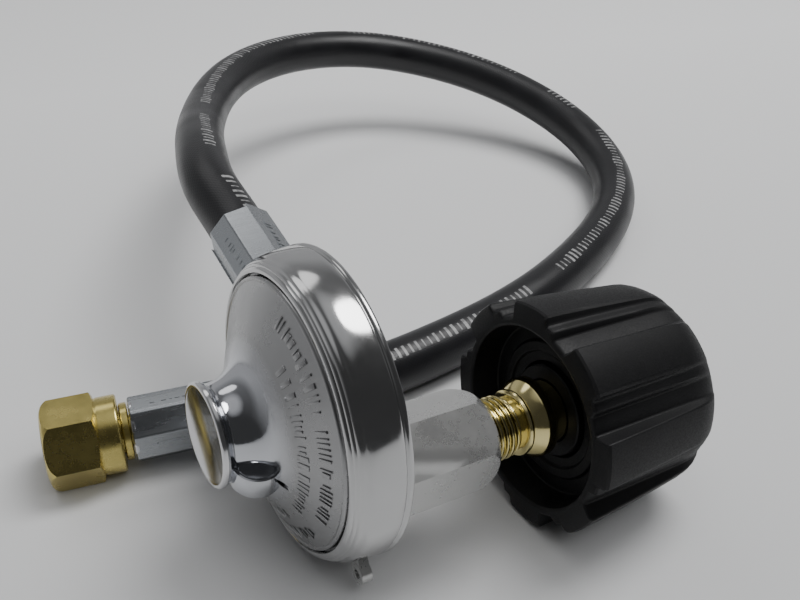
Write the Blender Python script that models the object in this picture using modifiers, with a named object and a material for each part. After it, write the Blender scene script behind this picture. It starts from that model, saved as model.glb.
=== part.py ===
# Low-pressure gas regulator with a screw-on inlet handwheel, an outlet hose and a swivel flare nut.
# Metres, +Z up. The regulator's axis runs along +X, from the snout to the handwheel, tipped a few
# degrees because the case and the handwheel both rest on the surface. The hose leaves towards +Y,
# loops round behind and ends beside the snout.
import math

import bmesh
import bpy
import numpy as np
from mathutils import Vector

# Driving dimensions
gap = 0.0003
rimRadius = 0.0333
tilt = math.radians(4.37)
roll = math.radians(12.48)
originX = -0.02427
originY = 0.00287
axisX = 0.00094
axisY = 0.00172
inletOffset = 0.0197
inletShift = -0.0011
outletX = 0.00495
outletZ = -0.0022

lipRadius = 0.0290
lipFront = -0.0109
flangeRadius = 0.0304
ledgeX = -0.0054
chamberRadius = 0.0243
chamberFloor = 0.007
caseBack = 0.009

snoutRadius = 0.0103
snoutBore = 0.008
snoutMouth = -0.0265
mouthRadius = 0.0109
capFront = -0.0276

bossEnd = 0.0250
bossFlats = 0.0190
bossStart = 0.0014
bossEndRadius = 0.0083
nippleThread = 0.00675
nippleBore = 0.0044
nippleNeck = 0.0070

wheelNear = 0.0392
wheelFar = 0.0750
wheelRibNear = 0.0259
wheelRibs = 8
wheelRibTurn = math.radians(-34.5)
acmeRadius = 0.01665

pivotY = -0.01224
pivotX = -0.0005

hoseDiameter = 0.0143
sleeveFlats = 0.0152
sleeveStart = 0.0365
sleeveEnd = 0.0603
stemBore = 0.0026
barbRadius = 0.0039

nutFlats = 0.01905
nutTipX = -0.0514
nutTipY = 0.0461
nutTurn = math.radians(-11.6)
nutHexLength = 0.0120
nutLength = 0.0173
ferruleStart = 0.0197
ferruleEnd = 0.0437

# Hose route between the two sleeves, in the frame of the disc's foot: metres
hoseRoute = [
    (0.0069, 0.0800, 0.0480), (0.0108, 0.0966, 0.0486), (0.0176, 0.1172, 0.0461),
    (0.0265, 0.1385, 0.0430), (0.0385, 0.1600, 0.0412), (0.0545, 0.1790, 0.0400),
    (0.0750, 0.1925, 0.0385), (0.0980, 0.1988, 0.0360), (0.1205, 0.1968, 0.0326),
    (0.1400, 0.1850, 0.0288), (0.1552, 0.1674, 0.0245), (0.1658, 0.1456, 0.0192),
    (0.1698, 0.1223, 0.0136), (0.1656, 0.1004, 0.0094), (0.1538, 0.0815, 0.0076),
    (0.1370, 0.0665, 0.0073), (0.1165, 0.0545, 0.0073), (0.0950, 0.0452, 0.0073),
    (0.0730, 0.0390, 0.0073), (0.0510, 0.0355, 0.0074), (0.0305, 0.0335, 0.0080),
]

parts = bpy.data.collections.new("propane_regulator_hose")
cutters = bpy.data.collections.new("cutters")


def clearScene():
    for old in list(bpy.data.objects):
        bpy.data.objects.remove(old, do_unlink=True)
    for collection in (parts, cutters):
        bpy.context.scene.collection.children.link(collection)
    cutters.hide_render = True


def material(name, color, roughness, metallic):
    made = bpy.data.materials.new(name)
    made.use_nodes = True
    shader = made.node_tree.nodes["Principled BSDF"]
    shader.inputs["Base Color"].default_value = (*color, 1.0)
    shader.inputs["Roughness"].default_value = roughness
    shader.inputs["Metallic"].default_value = metallic
    return made


def empty(name, parent, place, turn=(0.0, 0.0, 0.0)):
    made = bpy.data.objects.new(name, None)
    parts.objects.link(made)
    made.parent = parent
    made.location = place
    made.rotation_euler = turn
    return made


def place(made, parent, at=(0.0, 0.0, 0.0), turn=(0.0, 0.0, 0.0), finish=None):
    made.parent = parent
    made.location = at
    made.rotation_euler = turn
    if finish is not None:
        made.data.materials.append(finish)
    return made


def meshObject(name, mesh, cutter=False):
    made = bpy.data.objects.new(name, mesh)
    (cutters if cutter else parts).objects.link(made)
    if cutter:
        made.hide_render = True
        made.display_type = "WIRE"
    return made


# Turned piece about its own Z axis. The outline is (radius, height) pairs, walked clockwise.
def turned(name, outline, steps=40, cutter=False):
    points = [Vector((radius, 0.0, height)) for radius, height in outline]
    area = sum(a.x * b.z - b.x * a.z for a, b in zip(points, points[1:] + points[:1]))
    if area > 0:
        points.reverse()
    shape = bmesh.new()
    verts = [shape.verts.new(point) for point in points]
    onAxis = outline[0][0] == 0.0 and outline[-1][0] == 0.0
    for index in range(len(verts) - 1):
        shape.edges.new((verts[index], verts[index + 1]))
    if not onAxis:
        shape.edges.new((verts[-1], verts[0]))
    mesh = bpy.data.meshes.new(name)
    shape.to_mesh(mesh)
    shape.free()
    made = meshObject(name, mesh, cutter)
    screw = made.modifiers.new("Turn", "SCREW")
    screw.axis = "Z"
    screw.angle = math.tau
    screw.steps = steps
    screw.render_steps = steps
    screw.use_merge_vertices = True
    screw.merge_threshold = 0.00001
    screw.use_smooth_shade = True
    return made


def arc(centreRadius, centreHeight, radius, start, stop, count):
    angles = [math.radians(start + (stop - start) * k / count) for k in range(count + 1)]
    return [(centreRadius + radius * math.cos(a), centreHeight + radius * math.sin(a)) for a in angles]


def ring(inner, outer, low, high):
    return [(inner, high), (outer, high), (outer, low), (inner, low)]


def rod(radius, low, high):
    return [(0.0, high), (radius, high), (radius, low), (0.0, low)]


# Prism with flat sides about its own Z axis, one side's middle at the given angle.
def prism(name, flats, sides, low, high, sideAngle=0.0, cutter=False):
    shape = bmesh.new()
    radius = flats / 2 / math.cos(math.pi / sides)
    bmesh.ops.create_cone(shape, cap_ends=True, segments=sides, radius1=radius, radius2=radius,
                          depth=high - low)
    shape.verts.ensure_lookup_table()
    first = shape.verts[0].co
    turn = sideAngle + math.pi / sides - math.atan2(first.y, first.x)
    for vert in shape.verts:
        around = math.atan2(vert.co.y, vert.co.x) + turn
        vert.co = (radius * math.cos(around), radius * math.sin(around), vert.co.z + (high + low) / 2)
    mesh = bpy.data.meshes.new(name)
    shape.to_mesh(mesh)
    shape.free()
    return meshObject(name, mesh, cutter)


def block(name, low, high, cutter=False):
    shape = bmesh.new()
    bmesh.ops.create_cube(shape, size=1.0)
    for vert in shape.verts:
        vert.co = [(a + b) / 2 + c * (b - a) for a, b, c in zip(low, high, vert.co)]
    mesh = bpy.data.meshes.new(name)
    shape.to_mesh(mesh)
    shape.free()
    return meshObject(name, mesh, cutter)


def combine(target, operation, other):
    change = target.modifiers.new(operation.title() + " " + other.name, "BOOLEAN")
    change.operation = operation
    change.solver = "EXACT"
    change.object = other


# Round wire or tube through a list of points.
def tube(name, points, radius, sides=2):
    curve = bpy.data.curves.new(name, "CURVE")
    curve.dimensions = "3D"
    curve.bevel_depth = radius
    curve.bevel_resolution = sides
    curve.use_fill_caps = True
    spline = curve.splines.new("POLY")
    spline.points.add(len(points) - 1)
    for point, co in zip(spline.points, points):
        point.co = (*co, 1.0)
    made = bpy.data.objects.new(name, curve)
    parts.objects.link(made)
    return made


# Coil about its own Z axis, its end turns close to flat.
def coil(name, meanRadius, wireRadius, low, high, turns, perTurn=12):
    count = int(turns * perTurn)
    points = []
    for index in range(count + 1):
        share = index / count
        rise = share - math.sin(math.tau * share) / (math.tau * 1.25)
        angle = math.tau * turns * share
        height = low + wireRadius + (high - low - 2 * wireRadius) * rise
        points.append((meanRadius * math.cos(angle), meanRadius * math.sin(angle), height))
    return tube(name, points, wireRadius, sides=2)


# Natural cubic curve through the points, read at even steps along its chord length.
def smoothRoute(points, count):
    knots = np.array(points, float)
    chord = np.concatenate([[0.0], np.cumsum(np.linalg.norm(np.diff(knots, axis=0), axis=1))])
    step = np.diff(chord)
    size = len(knots)
    system = np.eye(size)
    right = np.zeros((size, 3))
    for k in range(1, size - 1):
        system[k, k - 1:k + 2] = (step[k - 1], 2 * (step[k - 1] + step[k]), step[k])
        right[k] = 6 * ((knots[k + 1] - knots[k]) / step[k] - (knots[k] - knots[k - 1]) / step[k - 1])
    bend = np.linalg.solve(system, right)
    found = []
    for along in np.linspace(0.0, chord[-1], count):
        k = min(int(np.searchsorted(chord, along, side="right")) - 1, size - 2)
        left = (chord[k + 1] - along) / step[k]
        back = 1.0 - left
        bow = ((left ** 3 - left) * bend[k] + (back ** 3 - back) * bend[k + 1]) * step[k] ** 2 / 6
        found.append(left * knots[k] + back * knots[k + 1] + bow)
    return [tuple(point) for point in found]


clearScene()

polished = material("polished_cast_aluminium", (0.78, 0.78, 0.79), 0.22, 1.0)
satin = material("satin_aluminium", (0.70, 0.71, 0.73), 0.38, 1.0)
brass = material("brass", (0.78, 0.60, 0.24), 0.22, 1.0)
steel = material("zinc_plated_steel", (0.62, 0.63, 0.64), 0.35, 1.0)
blackPlastic = material("black_plastic", (0.018, 0.018, 0.020), 0.55, 0.0)
hoseRubber = material("hose_rubber", (0.012, 0.012, 0.014), 0.45, 0.0)
sealRubber = material("seal_rubber", (0.03, 0.03, 0.03), 0.7, 0.0)

alongX = (0.0, math.pi / 2, 0.0)
alongY = (-math.pi / 2, 0.0, 0.0)
foot = Vector((originX, originY, 0.0))
site = empty("site", None, foot)
axisHeight = rimRadius * math.cos(tilt) + 0.00008
regulator = empty("regulator_axis", site, (axisX, axisY, axisHeight), (roll, tilt, 0.0))


def onAxis(made, finish, parent=regulator):
    return place(made, parent, turn=alongX, finish=finish)


def atInlet(made, finish, along=0.0):
    return place(made, regulator, at=(along, -inletOffset, 0.0), turn=alongX, finish=finish)


def buildBody():
    outline = [(0.0, caseBack), (0.0225, caseBack), (0.0243, 0.0083), (0.0255, 0.0066), (0.0260, 0.0036),
               (0.0280, 0.0018), (rimRadius, 0.0010), (rimRadius, -0.0004)]
    outline += [(0.0330, -0.0022), (0.0329, -0.0045), (0.0325, -0.0070), (0.0318, -0.0091), (0.0309, -0.0105)]
    outline += [(0.0299, lipFront), (0.0, lipFront)]
    body = onAxis(turned("regulator_body", outline, steps=48), polished)

    # Hexagonal inlet boss, its free end turned down to a round face
    boss = prism("boss_hexagon", bossFlats, 6, bossStart, bossEnd, math.radians(-30.5), cutter=True)
    atInlet(boss, None)
    crown = [(0.0, bossEnd), (bossEndRadius, bossEnd), (bossEndRadius + 0.0004, bossEnd - 0.0002),
             (0.0100, bossEnd - 0.0014), (0.0110, bossEnd - 0.0040), (0.0114, 0.0), (0.0, 0.0)]
    combine(boss, "INTERSECT", atInlet(turned("boss_crown", crown, 32, cutter=True), None))
    combine(body, "UNION", boss)

    # Outlet boss and its bore
    outlet = turned("outlet_boss", rod(0.0083, 0.0200, 0.0345), 28, cutter=True)
    combine(body, "UNION", place(outlet, regulator, (outletX, 0.0, outletZ), alongY))
    # Chamber behind the diaphragm, open to the front behind the rolled lip
    chamber = [(0.0, lipFront - 0.001), (lipRadius, lipFront - 0.001), (lipRadius, -0.0098), (0.0307, -0.0098),
               (0.0307, ledgeX), (chamberRadius, ledgeX), (chamberRadius, 0.0060), (0.0235, chamberFloor),
               (0.0, chamberFloor)]
    combine(body, "DIFFERENCE", onAxis(turned("chamber", chamber, 40, cutter=True), None))
    bore = turned("outlet_bore", rod(0.0053, 0.0180, 0.0360), 24, cutter=True)
    combine(body, "DIFFERENCE", place(bore, regulator, (outletX, 0.0, outletZ), alongY))

    # Posts that hold the lever pin
    for side in (-1, 1):
        low = (-0.0025, pivotY - 0.0022, side * 0.0045 - 0.0010)
        high = (chamberFloor + 0.001, pivotY + 0.0022, side * 0.0045 + 0.0010)
        post = block("pin_post", low, high, cutter=True)
        combine(body, "UNION", place(post, regulator))
    pinHole = turned("pin_hole", rod(0.0009 + gap, -0.0090, 0.0090), 16, cutter=True)
    combine(body, "DIFFERENCE", place(pinHole, regulator, (pivotX, pivotY, 0.0)))

    # Rim lug with its tag hole, leaning towards the snout
    lugAngle = math.radians(-141.5)
    lug = empty("lug_frame", regulator, (-0.0022, 0.0, 0.0), (lugAngle, 0.0, 0.0))
    tab = prism("lug_tab", 0.0046, 12, -0.0012, 0.0012, cutter=True)
    neck = block("lug_neck", (-0.0011, 0.0318, -0.0021), (0.0008, 0.0360, 0.0021), cutter=True)
    combine(tab, "UNION", place(neck, lug, (-0.0008, 0.0, 0.0)))
    combine(body, "UNION", place(tab, lug, (-0.0008, 0.0360, 0.0), alongX))
    tagHole = turned("lug_hole", rod(0.0011, -0.004, 0.004), 12, cutter=True)
    combine(body, "DIFFERENCE", place(tagHole, lug, (-0.0008, 0.0360, 0.0), alongX))

    # Inlet: jet seat from the chamber, threaded socket from outside
    inlet = [(0.0, bossEnd + 0.001), (nippleThread + gap, bossEnd + 0.001), (nippleThread + gap, 0.0115),
             (0.0033, 0.0115), (0.0033, chamberFloor - 0.001), (0.0, chamberFloor - 0.001)]
    combine(body, "DIFFERENCE", atInlet(turned("inlet_bore", inlet, 24, cutter=True), None))


def buildBonnet():
    flare = arc(snoutRadius + 0.0065, -0.0240, 0.0065, 180.0, 115.0, 5)
    outer = [(snoutBore, snoutMouth), (mouthRadius, snoutMouth), (mouthRadius, snoutMouth + 0.0004),
             (snoutRadius, -0.0252)] + flare
    outer += [(0.0272, -0.0118), (0.0278, -0.0112), (lipRadius - gap, -0.0108), (lipRadius - gap, -0.0095),
              (flangeRadius, -0.0095), (flangeRadius, -0.0081)]
    inner = [(0.0236, -0.0081), (0.0232, -0.0094), (0.0120, -0.0152), (0.0095, -0.0178), (snoutBore, -0.0200)]
    bonnet = onAxis(turned("bonnet", outer + inner, steps=44), polished)

    # Vent pad beside the snout, with the vent hole into the spring chamber
    pad = turned("vent_pad", rod(0.0053, -0.0056, -0.0001), 28, cutter=True)
    place(pad, regulator, (-0.0200, -0.0092, 0.0))
    inside = [(0.0, -0.0285), (0.0091, -0.0285), (0.0091, -0.0192), (0.0106, -0.0176), (0.0140, -0.0144),
              (0.0140, -0.0120), (0.0, -0.0120)]
    combine(pad, "DIFFERENCE", onAxis(turned("vent_pad_inside", inside, 40, cutter=True), None))
    combine(bonnet, "UNION", pad)
    vent = turned("vent_hole", rod(0.0007, 0.0060, 0.0180), 12, cutter=True)
    combine(bonnet, "DIFFERENCE", place(vent, regulator, (-0.0172, 0.0, -0.0017), (math.pi / 2, 0.0, 0.0)))


def buildSpringSide():
    cap = [(0.0, capFront), (0.0098, capFront), (0.0105, capFront + 0.0002), (mouthRadius, capFront + 0.0006),
           (mouthRadius, snoutMouth - gap), (snoutBore - gap, snoutMouth - gap), (snoutBore - gap, -0.0240),
           (0.0062, -0.0240), (0.0062, -0.0252), (0.0, -0.0252)]
    onAxis(turned("closing_cap", cap, 32), polished)

    screwTurn = empty("adjusting_screw_axis", regulator, (0.0, 0.0, 0.0))
    screw = turned("adjusting_screw", rod(snoutBore - gap, -0.0229, -0.0198), 32)
    onAxis(screw, blackPlastic, screwTurn)
    key = prism("adjusting_screw_key", 0.0050, 6, -0.0235, -0.0210, cutter=True)
    combine(screw, "DIFFERENCE", onAxis(key, None, screwTurn))

    cup = [(0.0030, -0.0182), (0.0030, -0.0195), (0.0074, -0.0195), (0.0074, -0.0187), (0.0048, -0.0187),
           (0.0048, -0.0182)]
    onAxis(turned("spring_cup", cup, 28), steel)
    spring = coil("main_spring", 0.0062, 0.0006, -0.0184, -0.0095, 4.0)
    onAxis(spring, steel)


def buildDiaphragmSet():
    sheet = [(0.0023, -0.0074), (0.0236, -0.0074), (0.0240, -0.0078), (flangeRadius, -0.0078),
             (flangeRadius, -0.0057), (0.0240, -0.0057), (0.0236, -0.0064), (0.0023, -0.0064)]
    onAxis(turned("diaphragm", sheet, 36), sealRubber)
    plate = [(0.0023, -0.0089), (0.0170, -0.0089), (0.0180, -0.0097), (0.0188, -0.0097), (0.0188, -0.0085),
             (0.0180, -0.0077), (0.0023, -0.0077)]
    onAxis(turned("diaphragm_plate", plate, 28), steel)
    onAxis(turned("diaphragm_washer", ring(0.0023, 0.0080, -0.0061, -0.0051), 24), steel)
    pusher = [(0.0, -0.0102), (0.0034, -0.0102), (0.0040, -0.0098), (0.0040, -0.0092), (0.0020, -0.0092),
              (0.0020, -0.0048), (0.0028, -0.0048), (0.0028, 0.0022), (0.0, 0.0022)]
    stem = onAxis(turned("pusher_stem", pusher, 20), brass)
    window = block("pusher_window", (-0.0019, -0.0050, -0.0016), (0.0009, 0.0050, 0.0016), cutter=True)
    combine(stem, "DIFFERENCE", place(window, regulator))


def buildValve():
    jet = [(0.0007, 0.0040), (0.0013, 0.0040), (0.0022, 0.0056), (0.0030, 0.0060), (0.0030, 0.0110),
           (0.0007, 0.0110)]
    atInlet(turned("orifice", jet, 20), brass)
    seat = turned("seat_disc", rod(0.0026, 0.0016, 0.0031), 20)
    atInlet(seat, sealRubber)
    holder = [(0.0, 0.0013), (0.0029, 0.0013), (0.0029, 0.0028), (0.0036, 0.0028), (0.0036, -0.0030),
              (0.0, -0.0030)]
    valve = atInlet(turned("seat_holder", holder, 24), brass)
    slot = block("holder_slot", (-0.0017, -0.0220, -0.0015), (0.0007, -0.0140, 0.0015), cutter=True)
    combine(valve, "DIFFERENCE", place(slot, regulator))

    # First-order lever about the pin between the valve block and the diaphragm stem
    hinge = empty("lever_axis", regulator, (pivotX, pivotY, 0.0))
    lever = turned("lever", rod(0.0020, -0.0031, 0.0031), 20)
    place(lever, hinge, finish=steel)
    reach = -pivotY + 0.0016
    arm = block("lever_arm", (-0.0006, -0.0086, -0.0012), (0.0006, reach, 0.0012), cutter=True)
    combine(lever, "UNION", place(arm, hinge))
    eye = turned("lever_eye", rod(0.0009 + gap, -0.0060, 0.0060), 16, cutter=True)
    combine(lever, "DIFFERENCE", place(eye, hinge))
    place(turned("lever_pin", rod(0.0009, -0.0060, 0.0060), 16), regulator, (pivotX, pivotY, 0.0), finish=steel)


def buildInlet():
    outer = [(0.0030, 0.0130), (0.0060, 0.0130), (nippleThread, 0.0138), (nippleThread, 0.0334),
             (0.0059, 0.0336), (0.0059, 0.0347), (0.0066, 0.0349), (0.0088, 0.0384), (0.0088, 0.0410), (nippleNeck, 0.0413),
             (nippleNeck, 0.0530), (0.0100, 0.0530), (0.0100, 0.0560), (0.0076, 0.0562), (0.0076, 0.0630),
             (0.0070, 0.0650), (0.0056, 0.0666)]
    bore = [(nippleBore, 0.0668), (nippleBore, 0.0440), (0.0030, 0.0440)]
    atInlet(turned("inlet_nipple", outer + bore, 28), brass, inletShift)

    # Excess-flow stop inside the nipple: sprung poppet held by a ring in the nose
    poppet = [(0.0, 0.0622), (0.0020, 0.0622), (0.0037, 0.0608), (0.0037, 0.0566), (0.0021, 0.0566),
              (0.0021, 0.0500), (0.0, 0.0500)]
    atInlet(turned("excess_flow_poppet", poppet, 20), brass, inletShift)
    spring = coil("excess_flow_spring", 0.0032, 0.0003, 0.0443, 0.0563, 5.0, 10)
    atInlet(spring, steel, inletShift)
    retainer = ring(0.0022, nippleBore - gap, 0.0626, 0.0642)
    atInlet(turned("excess_flow_retainer", retainer, 20), brass, inletShift)

    collar = [(nippleNeck + gap, 0.0448), (0.0104, 0.0448), (0.0104, 0.0503), (0.0135, 0.0503),
              (0.0135, 0.0527), (nippleNeck + gap, 0.0527)]
    slide = empty("handwheel_slide_axis", regulator, (inletShift, -inletOffset, 0.0))
    place(turned("thermal_bushing", collar, 32), slide, turn=alongX, finish=blackPlastic)
    spin = empty("handwheel_spin_axis", slide, (0.0, 0.0, 0.0))
    buildHandwheel(spin)


def buildHandwheel(spin):
    # One ribbed outline, narrower towards the threaded end, with a rounded far rim
    perRib = 8
    count = wheelRibs * perRib
    sections = [(wheelNear, wheelRibNear, 0.0224), (0.0690, 0.0234, 0.0220), (0.0735, 0.0213, 0.0207),
                (wheelFar, 0.0198, 0.0195)]
    shape = bmesh.new()
    bmesh.ops.create_circle(shape, cap_ends=True, segments=count, radius=1.0)
    shape.faces.ensure_lookup_table()
    face = shape.faces[0]
    for level, (height, ribRadius, rootRadius) in enumerate(sections):
        if level:
            made = bmesh.ops.extrude_face_region(shape, geom=[face])
            grown = [item for item in made["geom"] if isinstance(item, bmesh.types.BMFace)]
            if level > 1:
                bmesh.ops.delete(shape, geom=[face], context="FACES_ONLY")
            face = grown[0]
        for vert in face.verts:
            around = math.atan2(vert.co.y, vert.co.x)
            if level == 0:
                around += wheelRibTurn
            step = round((around - wheelRibTurn) / math.tau * count) % perRib
            radius = ribRadius if step <= perRib // 2 else rootRadius
            vert.co = (radius * math.cos(around), radius * math.sin(around), height)
    bmesh.ops.recalc_face_normals(shape, faces=shape.faces)
    mesh = bpy.data.meshes.new("handwheel")
    shape.to_mesh(mesh)
    shape.free()
    wheel = place(meshObject("handwheel", mesh), spin, turn=alongX, finish=blackPlastic)
    hollow = [(0.0, wheelFar + 0.001), (0.0180, wheelFar + 0.001), (0.0176, wheelFar - 0.0006),
              (acmeRadius, wheelFar - 0.0018), (acmeRadius, 0.0500), (0.0107, 0.0500), (0.0107, 0.0460),
              (0.0195, 0.0460), (0.0205, wheelNear - 0.001), (0.0, wheelNear - 0.001)]
    cut = turned("handwheel_hollow", hollow, 40, cutter=True)
    combine(wheel, "DIFFERENCE", place(cut, spin, turn=alongX))


def sleeve(name, low, high, sideAngle):
    made = prism(name, sleeveFlats, 8, low, high, sideAngle)
    bore = turned(name + "_bore", rod(barbRadius + gap, low - 0.001, high + 0.001), 20, cutter=True)
    combine(made, "DIFFERENCE", bore)
    return made, bore


def barbs(low, high, count):
    step = (high - low) / count
    found = []
    for index in range(count):
        base = low + step * index
        found += [(barbRadius, base + 0.0002), (barbRadius, base + 0.0008)]
        found += [(barbRadius - 0.0007, base + step - 0.0002)]
    return found


def buildOutlet():
    stem = [(stemBore, 0.0262), (0.0050, 0.0262), (0.0050, 0.0348), (0.0070, 0.0348), (0.0070, 0.0362)]
    stem += [(0.0034, 0.0362)]
    stem += barbs(0.0364, 0.0580, 4)
    stem += [(0.0031, 0.0590), (stemBore, 0.0590)]
    place(turned("outlet_stem", stem, 14), regulator, (outletX, 0.0, outletZ), alongY, steel)
    made, bore = sleeve("outlet_sleeve", sleeveStart, sleeveEnd, math.radians(32.0))
    place(made, regulator, (outletX, 0.0, outletZ), alongY, satin)
    place(bore, regulator, (outletX, 0.0, outletZ), alongY)


def buildFarEnd():
    height = nutFlats / 2 + 0.00005
    fitting = empty("far_fitting", site, (nutTipX, nutTipY, height), (0.0, 0.0, nutTurn))
    stem = [(stemBore, 0.0048), (0.0034, 0.0048), (0.0068, 0.0084), (0.0068, 0.0101), (0.0052, 0.0101),
            (0.0052, 0.0177), (0.0071, 0.0177), (0.0071, 0.0194), (0.0034, 0.0194)]
    stem += barbs(0.0196, 0.0410, 4)
    stem += [(0.0031, 0.0416), (stemBore, 0.0416)]
    place(turned("end_stem", stem, 16), fitting, turn=alongX, finish=brass)
    made, bore = sleeve("end_ferrule", ferruleStart, ferruleEnd, 0.0)
    place(made, fitting, turn=alongX, finish=satin)
    place(bore, fitting, turn=alongX)

    # Hexagon with chamfered corners, turned collar behind it
    spin = empty("flare_nut_axis", fitting, (0.0, 0.0, 0.0))
    nut = prism("flare_nut", nutFlats, 6, 0.0, nutHexLength)
    place(nut, spin, turn=alongX, finish=brass)
    corner = nutFlats / 2 / math.cos(math.pi / 6)
    crown = [(0.0, 0.0), (0.0092, 0.0), (corner + 0.0001, 0.0011), (corner + 0.0001, 0.0112),
             (0.0098, nutHexLength), (0.0, nutHexLength)]
    combine(nut, "INTERSECT", place(turned("nut_crown", crown, 32, cutter=True), spin, turn=alongX))
    collar = [(0.0, nutHexLength - 0.001), (0.0092, nutHexLength - 0.001), (0.0092, nutLength - 0.0004),
              (0.0088, nutLength), (0.0, nutLength)]
    combine(nut, "UNION", place(turned("nut_collar", collar, 32, cutter=True), spin, turn=alongX))
    bore = [(0.0, -0.001), (0.0080, -0.001), (0.0080, 0.0004), (0.0073, 0.0012), (0.0073, 0.0105),
            (0.0055, 0.0105), (0.0055, nutLength + 0.001), (0.0, nutLength + 0.001)]
    combine(nut, "DIFFERENCE", place(turned("nut_bore", bore, 28, cutter=True), spin, turn=alongX))
    return fitting


def buildHose(fitting):
    bpy.context.view_layer.update()
    toSite = site.matrix_world.inverted()
    toRegulator = toSite @ regulator.matrix_world
    toFitting = toSite @ fitting.matrix_world
    first = [toRegulator @ Vector((outletX, sleeveEnd + gap + ahead, outletZ)) for ahead in (0.0, 0.004)]
    last = [toFitting @ Vector((ferruleEnd + gap + back, 0.0, 0.0)) for back in (0.018, 0.004, 0.0)]
    route = [tuple(point) for point in first] + hoseRoute + [tuple(point) for point in last]
    hose = tube("hose", smoothRoute(route, 64), hoseDiameter / 2, sides=3)
    place(hose, site, finish=hoseRubber)


buildBody()
buildBonnet()
buildSpringSide()
buildDiaphragmSet()
buildValve()
buildInlet()
buildOutlet()
buildHose(buildFarEnd())
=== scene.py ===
import math
import random

import bmesh
import bpy
from mathutils import Euler, Matrix, Vector


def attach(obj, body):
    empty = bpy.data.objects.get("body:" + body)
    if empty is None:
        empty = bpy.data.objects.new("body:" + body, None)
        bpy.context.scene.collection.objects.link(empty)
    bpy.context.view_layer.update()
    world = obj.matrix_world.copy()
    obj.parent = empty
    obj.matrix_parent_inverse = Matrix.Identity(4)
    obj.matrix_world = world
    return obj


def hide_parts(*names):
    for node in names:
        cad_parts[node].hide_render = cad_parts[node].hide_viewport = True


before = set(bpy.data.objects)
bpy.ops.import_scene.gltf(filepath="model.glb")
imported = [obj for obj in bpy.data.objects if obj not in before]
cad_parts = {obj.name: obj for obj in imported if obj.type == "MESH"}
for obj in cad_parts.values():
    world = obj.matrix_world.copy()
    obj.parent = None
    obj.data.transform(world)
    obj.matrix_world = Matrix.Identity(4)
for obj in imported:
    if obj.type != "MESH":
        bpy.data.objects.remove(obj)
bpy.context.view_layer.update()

# Lengths in outlines and in names ending in Mm are millimetres. Everything else is metres.
mm = 0.001
shift = Vector((-0.02427, 0.00287, 0.0))
tilt = math.radians(4.37)
roll = math.radians(12.48)
rimRadius = 0.0333
axisPlace = shift + Vector((0.00094, 0.00172, rimRadius * math.cos(tilt) + 0.00008))
inletOffset = 0.0197
inletShift = -0.0011
outletX = 0.00495
outletZ = -0.0022
hoseDiameter = 0.0143
nutTurn = math.radians(-11.6)
nutFlatsMm = 19.05
bossFlatsMm = 19.0
sleeveFlatsMm = 15.2
taperPitchMm = 1.41
acmePitchMm = 5.08
hosePoints = 420
hoseSides = 40
printStep = 0.0021

toRegulator = Matrix.Translation(axisPlace) @ Euler((roll, tilt, 0)).to_matrix().to_4x4()
toBoss = toRegulator @ Matrix.Translation((0, -inletOffset, 0))
toInlet = toBoss @ Matrix.Translation((inletShift, 0, 0))
toOutlet = toRegulator @ Matrix.Translation((outletX, 0, outletZ)) @ Matrix.Rotation(math.pi / 2, 4, "Z")
toFitting = Matrix.Translation(shift + Vector((-0.0514, 0.0461, nutFlatsMm * mm / 2 + 0.00005)))
toFitting = toFitting @ Matrix.Rotation(nutTurn, 4, "Z")
sleeveEnd = 0.0603
ferruleEnd = 0.0437
gap = 0.0003
random.seed(7)

# Floor colours with painted light: painted shade near the viewer, painted light at the back
floorPaintedShadeNear = (0.60, 0.603, 0.607)
floorPaintedLightFar = (0.88, 0.882, 0.885)
roomDark = 0.05
roomWall = 0.38
roomTop = 0.40
keyPower = 8.5
backPower = 2.0
fillPower = 16.5


def newMaterial(name):
    made = bpy.data.materials.new(name)
    made.use_nodes = True
    return made, made.node_tree.nodes, made.node_tree.links, made.node_tree.nodes["Principled BSDF"]


def inFrame(nodes, links, matrix, scale=(1, 1, 1)):
    # Object coordinates turned into a fitting's own frame: X along its axis
    coords = nodes.new("ShaderNodeTexCoord")
    mapping = nodes.new("ShaderNodeMapping")
    mapping.vector_type = "TEXTURE"
    mapping.inputs["Location"].default_value = matrix.to_translation()
    mapping.inputs["Rotation"].default_value = matrix.to_euler()
    mapping.inputs["Scale"].default_value = scale
    links.new(coords.outputs["Object"], mapping.inputs["Vector"])
    return mapping.outputs["Vector"]


def noise(nodes, links, vector, scale, detail=3.0, rough=0.5):
    made = nodes.new("ShaderNodeTexNoise")
    made.inputs["Scale"].default_value = scale
    made.inputs["Detail"].default_value = detail
    made.inputs["Roughness"].default_value = rough
    links.new(vector, made.inputs["Vector"])
    return made.outputs["Fac"]


def mapRange(nodes, links, value, low, high, toLow, toHigh):
    made = nodes.new("ShaderNodeMapRange")
    for key, number in (("From Min", low), ("From Max", high), ("To Min", toLow), ("To Max", toHigh)):
        made.inputs[key].default_value = number
    links.new(value, made.inputs["Value"])
    return made.outputs["Result"]


def math2(nodes, links, operation, first, second):
    made = nodes.new("ShaderNodeMath")
    made.operation = operation
    for socket, value in zip(made.inputs, (first, second)):
        if isinstance(value, (int, float)):
            socket.default_value = value
        else:
            links.new(value, socket)
    return made.outputs["Value"]


def mixColor(nodes, links, factor, first, second):
    made = nodes.new("ShaderNodeMix")
    made.data_type = "RGBA"
    links.new(factor, made.inputs["Factor"])
    for socket, value in ((made.inputs[6], first), (made.inputs[7], second)):
        if isinstance(value, tuple):
            socket.default_value = (*value, 1)
        else:
            links.new(value, socket)
    return made.outputs[2]


def addBump(nodes, links, shader, height, strength, distance):
    made = nodes.new("ShaderNodeBump")
    made.inputs["Strength"].default_value = strength
    made.inputs["Distance"].default_value = distance
    links.new(height, made.inputs["Height"])
    links.new(made.outputs["Normal"], shader.inputs["Normal"])


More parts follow.
